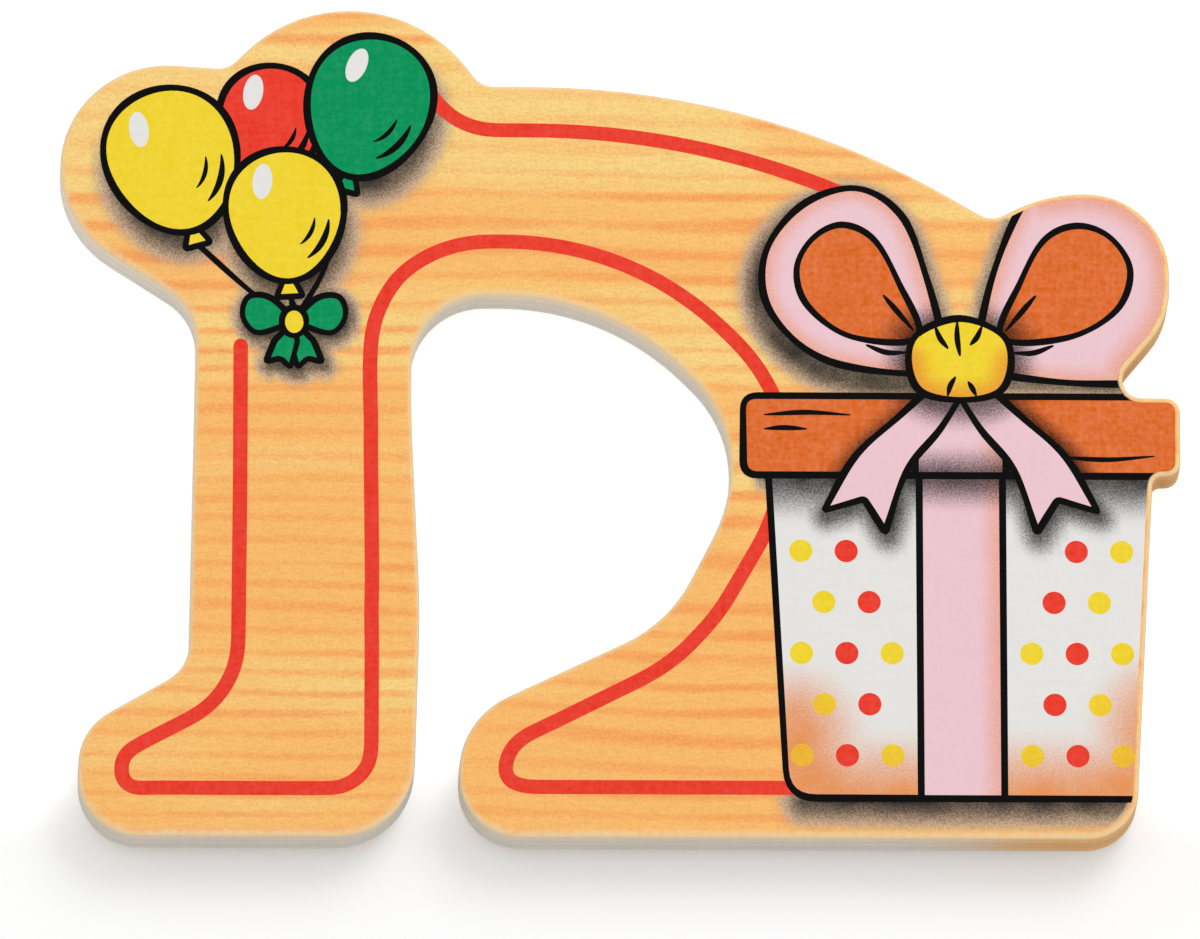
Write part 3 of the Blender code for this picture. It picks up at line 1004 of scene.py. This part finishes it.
# %% Bow on the strings
STRING_BOW_PEN = PEN * 0.85
STRING_BOW_LOOP = ((-0.3, 0.2), (-1.9, 2.0), (-3.7, 2.1), (-4.2, 0.5), (-3.2, -0.9), (-1.5, -0.6))
STRING_BOW_TAIL = ((-0.2, -0.2), (-1.6, -1.6), (-2.3, -3.4), (-1.1, -3.1), (-0.3, -3.9), (0.3, -1.6))
STRING_KNOT_SIZE = (1.0, 1.2)

string_bow_shapes = []
for flip in ((-1, 1), (1, 1)):
    for half_shape in (STRING_BOW_TAIL, smooth(STRING_BOW_LOOP, loop=True)):
        shape = np.array(half_shape) * flip + STRINGS_MEET
        string_bow_shapes.append(inked("green", shape, STRING_BOW_PEN, eased=True))
inked("yellow", oval(STRING_KNOT_SIZE, count=24) + STRINGS_MEET, STRING_BOW_PEN)
print("string bow of", len(string_bow_shapes), "shapes")

# %% [markdown]
# On the right the board is sawn to the shape of a wrapped parcel, so the parcel's ink runs out over
# the sawn edge and has no pen line there. The box comes first: white paper with dots, and a pink
# ribbon down its middle. The dots could be placed by hand, but two loops keep their rows even.
# Shapes may reach past the board, because everything is cut to the face later.

# %% Parcel box
PARCEL_MIDDLE = 62.6
PAST_EDGE = 84.0
BOX_BOTTOM = 3.4
BOX_LEFT_BOTTOM = 48.3
BOX_LEFT_TOP = 46.9
BOX_CORNER = 2.4
LID_BOTTOM = 30.6
LID_TOP = 37.3
RIBBON_WIDTH = 6.8
DOT_RADIUS = 0.95
DOT_GAP = (3.7, 4.3)
DOT_ROWS = 5
DOTS_IN_ROW = 3
FIRST_DOT = 0.62
FIRST_DOT_ROW = 7.0


def rounded(corners, radius, steps=6):
    """An open path through the corners that turns each inner one as a curve of about that radius."""
    corners = [np.array(corner, float) for corner in corners]
    path = [corners[0]]
    for before, corner, after in zip(corners, corners[1:], corners[2:]):
        start = corner + radius * (before - corner) / np.linalg.norm(before - corner)
        end = corner + radius * (after - corner) / np.linalg.norm(after - corner)
        for step in range(steps + 1):
            t = step / steps
            path.append((1 - t) ** 2 * start + 2 * t * (1 - t) * corner + t ** 2 * end)
    return np.array(path + [corners[-1]])


def ribbon(width, bottom, top, lift=0.0):
    """Prints a ribbon up the parcel's middle, whose ink starts that lift above its two pen lines."""
    left, right = PARCEL_MIDDLE - width / 2, PARCEL_MIDDLE + width / 2
    shape = fill("pink", ((left, bottom + lift), (right, bottom + lift), (right, top), (left, top)))
    for edge in (left, right):
        line(((edge, bottom), (edge, (bottom + top) / 2), (edge, top)))
    return shape


box_side = rounded(
    ((BOX_LEFT_TOP, LID_BOTTOM), (BOX_LEFT_BOTTOM, BOX_BOTTOM), (PAST_EDGE, BOX_BOTTOM)), BOX_CORNER)
box_shape = fill("white", np.concatenate((box_side, [(PAST_EDGE, LID_BOTTOM)])))
for row in range(DOT_ROWS):
    behind_tail = row == DOT_ROWS - 1
    for side in (-1, 1):
        for column in range(behind_tail, DOTS_IN_ROW - row % 2):
            reach = RIBBON_WIDTH / 2 + DOT_GAP[0] * (FIRST_DOT + column + row % 2 / 2)
            place = (PARCEL_MIDDLE + side * reach, FIRST_DOT_ROW + row * DOT_GAP[1])
            fill("red" if (row + column) % 2 else "yellow", oval(DOT_RADIUS, count=28) + place)
line(box_side)
ribbon_shape = ribbon(RIBBON_WIDTH, BOX_BOTTOM, LID_BOTTOM, PEN / 2)
print("box from", BOX_BOTTOM, "to", LID_BOTTOM, "mm above the line")

# %% [markdown]
# The lid is a band of orange paper that overhangs the box on both sides. Its left end stays just
# inside the letter's open middle, and its right end is the sawn edge itself. The ribbon goes over
# it, and a few tapering pen strokes give it a fold and a shine.

# %% Parcel lid
LID_LEFT = 44.85
LID_CORNER = 1.2
LID_PEN_END = 77.6
LID_FOOT_END = 79.0
LID_RIBBON_WIDTH = RIBBON_WIDTH + 0.6
LID_STROKE_PEN = PEN * 0.7
LID_STROKES = (
    ((46.6, 35.7), (50.0, 35.9), (53.6, 35.7)),
    ((46.6, 34.5), (48.2, 34.6), (50.0, 34.5)),
    ((70.6, 32.2), (74.6, 32.0), (78.4, 32.3)),
)

lid_corners = (
    (LID_PEN_END, LID_TOP), (LID_LEFT, LID_TOP), (LID_LEFT, LID_BOTTOM), (LID_FOOT_END, LID_BOTTOM))
lid_edge = rounded(lid_corners, LID_CORNER)
lid_shape = fill("orange", np.concatenate((lid_edge, [(PAST_EDGE, LID_BOTTOM), (PAST_EDGE, LID_TOP)])))
ribbon(LID_RIBBON_WIDTH, LID_BOTTOM, LID_TOP)
line(lid_edge)
for stroke in LID_STROKES:
    line(smooth(stroke), LID_STROKE_PEN, STROKE_TAPER)
print("lid from", LID_BOTTOM, "to", LID_TOP, "mm above the line")

# %% [markdown]
# The ribbon is tied in a bow on the lid. Each loop is a pink band round an orange opening, where the
# ribbon's inner side shows. The left loop lies whole on the board. The right one fills the sawn
# loop, so only its inner sides have a pen line. Two forked tails fall over the lid, and a yellow
# knot covers where everything meets. The tails and the loops' creases are drawn once and mirrored.

# %% Parcel bow
LEFT_LOOP = ((61.2, 41.9), (59.9, 47.4), (57.9, 52.6), (54.2, 54.9), (49.7, 53.4), (46.7, 49.2),
             (47.2, 44.3), (52.0, 40.2), (60.8, 39.3))
LEFT_OPENING = ((59.2, 42.3), (57.6, 47.0), (55.6, 50.6), (53.0, 51.8), (50.6, 50.6), (49.3, 48.0),
                (50.2, 44.9), (53.8, 42.3))
RIGHT_UPPER = ((64.0, 41.9), (65.3, 47.4), (67.2, 52.4), (69.6, 56.4))
RIGHT_LOWER = ((78.0, 38.4), (71.4, 38.5), (64.4, 39.3))
RIGHT_OPENING = ((66.0, 42.3), (67.6, 47.0), (69.6, 50.6), (72.3, 51.8), (75.0, 50.8), (76.6, 48.0),
                 (75.4, 44.6), (71.4, 42.3))
TAIL_OUTER_SIDE = ((61.2, 39.0), (57.6, 35.6), (54.0, 32.2), (51.4, 27.6))
TAIL_INNER_SIDE = ((63.4, 38.6), (61.0, 34.6), (58.2, 31.0), (56.4, 25.8))
TAIL_FORK = (54.7, 28.6)
OPENING_PEN = PEN * 0.9
CREASE_PEN = PEN * 0.75
CREASE_TAPER = 0.6
BOW_KNOT = ((59.2, 42.6), (62.6, 43.9), (66.0, 42.6), (66.8, 40.2), (65.8, 37.7), (62.6, 37.0),
            (59.4, 37.7), (58.4, 40.2))
LOOP_CREASES = (
    ((58.2, 41.0), (56.6, 41.0), (55.0, 41.6)),
    ((58.8, 42.9), (57.4, 44.6), (56.4, 45.8)),
)
KNOT_CREASES = (
    ((60.6, 43.2), (61.0, 42.2), (61.6, 41.4)),
    ((62.4, 43.6), (62.4, 42.2), (62.6, 40.8)),
    ((64.4, 43.2), (64.0, 42.3), (63.5, 41.7)),
    ((61.6, 37.4), (61.8, 38.2), (62.2, 38.9)),
    ((63.9, 37.4), (63.6, 38.0), (63.3, 38.5)),
)


def mirrored(points):
    """Points of the parcel's left half, flipped to its right half."""
    return [(2 * PARCEL_MIDDLE - x, y) for x, y in points]


left_loop = inked("pink", smooth(LEFT_LOOP, loop=True))
upper, lower = smooth(RIGHT_UPPER), smooth(RIGHT_LOWER)
sawn_side = [(PAST_EDGE, upper[-1, 1]), (PAST_EDGE, lower[0, 1])]
right_loop = fill("pink", np.concatenate((upper, sawn_side, lower)))
line(upper)
line(lower)
for opening in (LEFT_OPENING, RIGHT_OPENING):
    inked("orange", smooth(opening, loop=True), OPENING_PEN)
tails = []
for flip in (list, mirrored):
    outer, inner = smooth(flip(TAIL_OUTER_SIDE)), smooth(flip(TAIL_INNER_SIDE))
    tails.append(inked("pink", np.concatenate((outer, flip([TAIL_FORK]), inner[::-1])), eased=True))
bow_knot = inked("yellow", smooth(BOW_KNOT, loop=True))
for crease in (*LOOP_CREASES, *map(mirrored, LOOP_CREASES), *KNOT_CREASES):
    line(smooth(crease), CREASE_PEN, CREASE_TAPER)
print("shapes in the print:", len(print_plan))

# %% [markdown]
# Now the face is divided among the inks. All outlines go into one triangulation, together with the
# face's own rim, and each triangle belongs to the last shape that covers it. This is a printer's
# knock-out: no ink lies on another, so no two surfaces fight for the same place.

# %% Divide the face among the inks
INK_STEP = 0.6
PRINT_RIM = ARRIS + 0.04

print_rim = inset(outline, PRINT_RIM)
sprayed_fills = (box_shape, lid_shape, left_loop, right_loop, bow_knot, ribbon_shape)
loose = [lattice(shape, INK_STEP, INK_STEP / 3) for shape in sprayed_fills]
loops = [print_rim] + [subdivided(edge, INK_STEP) for _, edge, _ in print_plan]
ink_spots, ink_triangles = triangulate(loops, np.concatenate(loose))
ink_middles = ink_spots[ink_triangles].mean(axis=1)
owned_ink = np.full(len(ink_triangles), "bare", dtype=object)
for ink, _, covers in print_plan:
    owned_ink[covers(ink_middles)] = ink
owned_ink[~inside(ink_middles, print_rim)] = "bare"
inks = sorted({ink for ink, _, _ in print_plan})
print({ink: int(np.sum(owned_ink == ink)) for ink in inks})

# %% [markdown]
# Three things are sprayed. Black shade lies on the wood below and to the right of each picture, and
# under the lid. An orange blush rounds the foot of the box, the loops and the knot. Each pass is a
# shape or a path with a reach: full density on it, none beyond its reach, and none on the shapes
# that hang over it.

# %% Airbrush passes
SHADE_REACH = 2.9
SHADE_SHRINK = 0.7
SHADE_ASIDE = 0.2
RIBBON_RIGHT = PARCEL_MIDDLE + RIBBON_WIDTH / 2
box_foot = np.array(((49.0, 9.0), (50.0, 4.6), (53.0, 3.2), (73.0, 3.2), (77.5, 4.6), (78.6, 10.0)))
box_ground = np.array(((49.8, 3.2), (62.0, 3.0), (77.4, 3.2)))
lid_underside = np.array(((47.0, 30.4), (79.5, 30.4)))
bow_gap = np.array(((64.5, 38.6), (77.0, 38.2)))
loop_rim = stretch((((75.5, 38.6), ARRIS), ((69.4, 54.6), ARRIS)))
ribbon_edge = np.array(((RIBBON_RIGHT, 3.0), (RIBBON_RIGHT, 37.0)))


def along(path, reach, strength, under=()):
    """A pass that follows a path and stays off the shapes that lie over it."""
    return (path, None, reach, strength, under)


def over(shape, shift, reach, strength):
    """A pass that covers a shape moved by that shift."""
    moved = shape + shift
    return (closed(moved), moved, reach, strength, ())


def below(shape, drop, reach, strength):
    """A pass that shows below a shape and not above it: the shape, made smaller and moved down."""
    smaller = inset(shape, drop * SHADE_SHRINK)
    return over(smaller, (drop * SHADE_ASIDE, -drop), reach, strength)


tail_shade = [over(tail, (0.2, -0.4), 2.0, 0.95) for tail in tails]
shade_passes = {
    "bare": [below(shape, 1.7, SHADE_REACH, 0.98) for shape in balloon_outlines]
    + [over(shape, (0.2, -0.4), 1.4, 0.95) for shape in string_bow_shapes]
    + [over(left_loop, (-0.3, -1.0), 2.2, 0.97), along(upper, 1.4, 0.8), along(bow_gap, 1.6, 0.9)]
    + [along(box_ground, SHADE_REACH, 0.98), along(lid_underside, 1.9, 0.95)],
    "white": [along(lid_underside, 4.0, 0.98)] + tail_shade,
    "pink": [along(lid_underside, 3.0, 0.9, tails), over(bow_knot, (0.0, -0.3), 2.6, 0.9)],
    "orange": [over(bow_knot, (0.0, -0.3), 3.4, 0.95)] + tail_shade,
}
blush_passes = {
    "white": [along(box_foot, 6.5, 0.92)],
    "pink": [along(closed(left_loop), 1.7, 0.55), along(loop_rim, 1.9, 0.55), along(upper, 1.7, 0.55),
             along(lower, 1.7, 0.55), along(ribbon_edge, 2.2, 0.5, tails)],
    "yellow": [along(smooth(BOW_KNOT[3:8]), 2.2, 0.8), along(box_foot, 6.5, 0.5)],
}
print("passes of shade:", sum(len(passes) for passes in shade_passes.values()))

# %% [markdown]
# Spraying a piece means working out the density at each of its points. Where passes meet, the denser
# one counts, so they never add up to a dark seam. The board is sprayed first, and its sanded edge
# stays clean.

# %% Spray the board
FADE = 1.8


def drawn_spots(piece):
    """Where the piece's vertices lie on the drawing."""
    places = np.empty(len(piece.data.vertices) * 3, np.float32)
    piece.data.vertices.foreach_get("co", places)
    return (places.reshape(-1, 3)[:, :2] - DRAWING_ORIGIN) / MM


def sprayed(spots, passes):
    """The density of those airbrush passes at each spot."""
    density = np.zeros(len(spots))
    for path, shape, reach, strength, under in passes:
        away = distance_to(spots, path)[0]
        if shape is not None:
            away[inside(spots, shape)] = 0.0
        for cover in under:
            away[inside(spots, cover)] = reach
        density = np.maximum(density, strength * np.clip(1 - (away / reach) ** 2, 0, 1) ** FADE)
    return density


board_spots = drawn_spots(board)
board_shade = sprayed(board_spots, shade_passes["bare"])
board_shade[distance_to(board_spots, closed(outline))[0] < ARRIS + NEAR_SAME] = 0.0
carry(board, "shade", board_shade)
print("sprayed points on the board:", int(np.sum(board_shade > 0)))

# %% [markdown]
# Every ink has the same make-up: the ink film group for its colour, then the orange blush and the
# black shade over it, each through the airbrush group. Only the colours differ.

# %% Ink materials
INK_COLOURS = {
    "red": paint(236, 64, 48),
    "yellow": paint(243, 214, 52),
    "green": paint(6, 148, 90),
    "pink": paint(239, 200, 208),
    "orange": paint(224, 111, 53),
    "white": paint(232, 230, 226),
    "black": paint(5, 4, 5),
}
INK_MOTTLE = {"green": 0.55, "orange": 0.6, "white": 0.12, "pink": 0.15}
USUAL_MOTTLE = 0.25
INK_GLOSS = 0.05
INK_RELIEF = 0.01 * MM
SPRAYS = (("blush", paint(234, 138, 54), blush_passes), ("shade", BLACK_SPRAY, shade_passes))


def ink_material(ink):
    """A printed ink with its blush and shade."""
    made, tree, shader = new_material("ink_" + ink, {"Specular IOR Level": INK_GLOSS})
    mottle = INK_MOTTLE.get(ink, USUAL_MOTTLE)
    film = use_group(tree, INK_FILM, {"Colour": INK_COLOURS[ink], "Mottle": mottle})
    colour = film["Colour"]
    for name, spray, passes in SPRAYS:
        if ink in passes:
            drops = use_group(tree, AIRBRUSH, {"Density": carried(tree, name)})
            colour = blend(drops["Mask"], colour, spray)
    surface(shader, colour, film["Roughness"], film["Height"], INK_RELIEF)
    return made


print("inks:", ", ".join(inks))

# %% [markdown]
# An ink is a film with a thickness, even if a thin one, so each becomes a closed mesh: its triangles
# on top, the same triangles below, and a wall along every edge that only one triangle uses. A
# Solidify modifier could do it, but the triangles are at hand, and plain arrays need no second step.

# %% Ink films
FILM = 0.02 * MM
BITE = 0.004 * MM


def ink_film(ink):
    """The closed film of one ink, lying on the board's face."""
    used, corners = np.unique(ink_triangles[owned_ink == ink], return_inverse=True)
    triangles = corners.reshape(-1, 3)
    spots, count = ink_spots[used], len(used)
    directed = {(t[i], t[(i + 1) % 3]) for t in triangles for i in range(3)}
    walls = [(b, a, a + count, b + count) for a, b in sorted(directed) if (b, a) not in directed]
    faces = [tuple(t) for t in triangles] + [tuple(t[::-1] + count) for t in triangles] + walls
    points = to_frame(spots, FACE + FILM) + to_frame(spots, FACE - BITE)
    piece = new_piece("ink_" + ink, points, faces, ink_material(ink))
    for name, _, passes in SPRAYS:
        if ink in passes:
            carry(piece, name, np.tile(sprayed(spots, passes[ink]), 2))
    return piece


for ink in inks:
    film = ink_film(ink)
    print(film.name, len(film.data.polygons), "faces")

# %% [markdown]
# The core and the back ply keep their solids, whose outline is right, and get better materials. The
# core is a little darker, and since only its edge is ever seen, its cross grain needs no turning. The
# back is bare, sanded birch with hardly any streaks. Both show the sawn edge on their walls, which
# the surface's own direction picks out.

# %% Core and back plies
BARE_STREAKS = 0.45
CORE_EDGE = {"Grey": paint(209, 198, 184), "Gold": paint(208, 156, 98)}
CORE_WOOD = {
    "Ground": paint(214, 186, 146), "Pale": paint(222, 197, 160), "Streak": paint(196, 160, 118),
}
BACK_EDGE = {"Grey": paint(203, 200, 192), "Gold": paint(216, 166, 106)}
BACK_WOOD = {
    "Ground": paint(226, 202, 164), "Pale": paint(233, 213, 180), "Streak": paint(208, 176, 132),
}


def bare_ply(name, wood, edge_wood):
    """Bare wood on flat faces and the sawn edge on walls."""
    made, tree, shader = new_material(name)
    grain = use_group(tree, WOOD_GRAIN, {**wood, "Streak Share": BARE_STREAKS})
    edge = use_group(tree, SAWN_EDGE, edge_wood)
    facing = add_node(tree, "ShaderNodeNewGeometry").outputs["True Normal"]
    flat = spread(calc("ABSOLUTE", axes(facing)["Z"]), 0.75, 0.95)
    colour = blend(flat, edge["Colour"], grain["Colour"])
    roughness = spread(edge["Height"], 0.2, 0.8, 0.7, 0.85)
    surface(shader, colour, roughness, edge["Height"], WOOD_RELIEF)
    return made


def dress(node_name, material):
    """Gives a CAD node that material in every slot."""
    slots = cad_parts[node_name].data.materials
    slots.clear()
    slots.append(material)


dress("core_ply", bare_ply("core_wood", CORE_WOOD, CORE_EDGE))
dress("back_ply", bare_ply("back_wood", BACK_WOOD, BACK_EDGE))
print("plies dressed: core_ply, back_ply")

# %% [markdown]
# Each foam pad is a square cut from double-sided foam tape. A knife presses soft foam as it cuts, so
# the sides bulge a little between two sharp rims. The pad's outline is read from its solid, as the
# board's was, and rings of it are lofted upwards. The foam is white, matt and full of fine bubbles.

# %% Foam pads
PADS = ("foam_pad_lobe", "foam_pad_foot", "foam_pad_bow", "foam_pad_box")
PAD_BULGE = 0.22
PAD_RINGS = 8
FOAM_WHITES = (paint(226, 225, 220), paint(242, 241, 237))
BUBBLES_PER_METRE = 6000
BUBBLE_RELIEF = 0.06 * MM


def foam_material():
    """White closed-cell foam."""
    made, tree, shader = new_material("foam")
    place = own_place(tree)
    cells = add_node(tree, "ShaderNodeTexVoronoi", {"Vector": place, "Scale": BUBBLES_PER_METRE})
    bubbles = cells.outputs["Distance"]
    colour = blend(noise(place, (900, 900, 900)), *FOAM_WHITES)
    surface(shader, colour, spread(bubbles, 0.0, 0.6, 0.95, 0.8), bubbles, BUBBLE_RELIEF)
    return made


def foam_pad(node_name, material):
    """A pad in the place of that node, with sides that bulge between its two rims."""
    low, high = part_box(node_name)
    rim = lower_rim(node_name)
    rings = []
    for step in range(PAD_RINGS + 1):
        share = step / PAD_RINGS
        pinch = PAD_BULGE * (1 - math.sin(math.pi * share))
        rings.append(to_frame(inset(rim, pinch), low.z + share * (high.z - low.z)))
    points, faces = loft(rings)
    faces.append(tuple(reversed(range(len(rim)))))
    faces.append(tuple(range(len(points) - len(rim), len(points))))
    piece = new_piece(node_name + "_foam", points, faces, material)
    shade_round(piece)
    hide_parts(node_name)
    return piece


FOAM = foam_material()
for pad in PADS:
    print(foam_pad(pad, FOAM).name)

# %% [markdown]
# A release paper covers each pad until it is used. It is a thin honey-coloured paper with a wax
# coat, so it has paper fibres, soft creases and a slight gloss. Its solid is already right, and only
# the finish is added.

# %% Release papers
PAPERS = ("release_paper_lobe", "release_paper_foot", "release_paper_bow", "release_paper_box")
PAPER_TINTS = (paint(214, 190, 146), paint(236, 219, 184))
CREASE_RELIEF = 0.05 * MM


def waxed_paper():
    """Honey-coloured paper with fibres, soft creases and a wax gloss."""
    made, tree, shader = new_material("waxed_paper")
    place = own_place(tree)
    fibres = noise(place, (1500, 4200, 1500), 4.0)
    creases = noise(place, (180, 240, 180), 3.0)
    colour = blend(mixture(fibres, 0.6, creases, 0.4), *PAPER_TINTS)
    surface(shader, colour, spread(creases, 0.3, 0.7, 0.32, 0.5), creases, CREASE_RELIEF)
    return made


WAXED_PAPER = waxed_paper()
for paper in PAPERS:
    dress(paper, WAXED_PAPER)
print("papers dressed:", len(PAPERS))
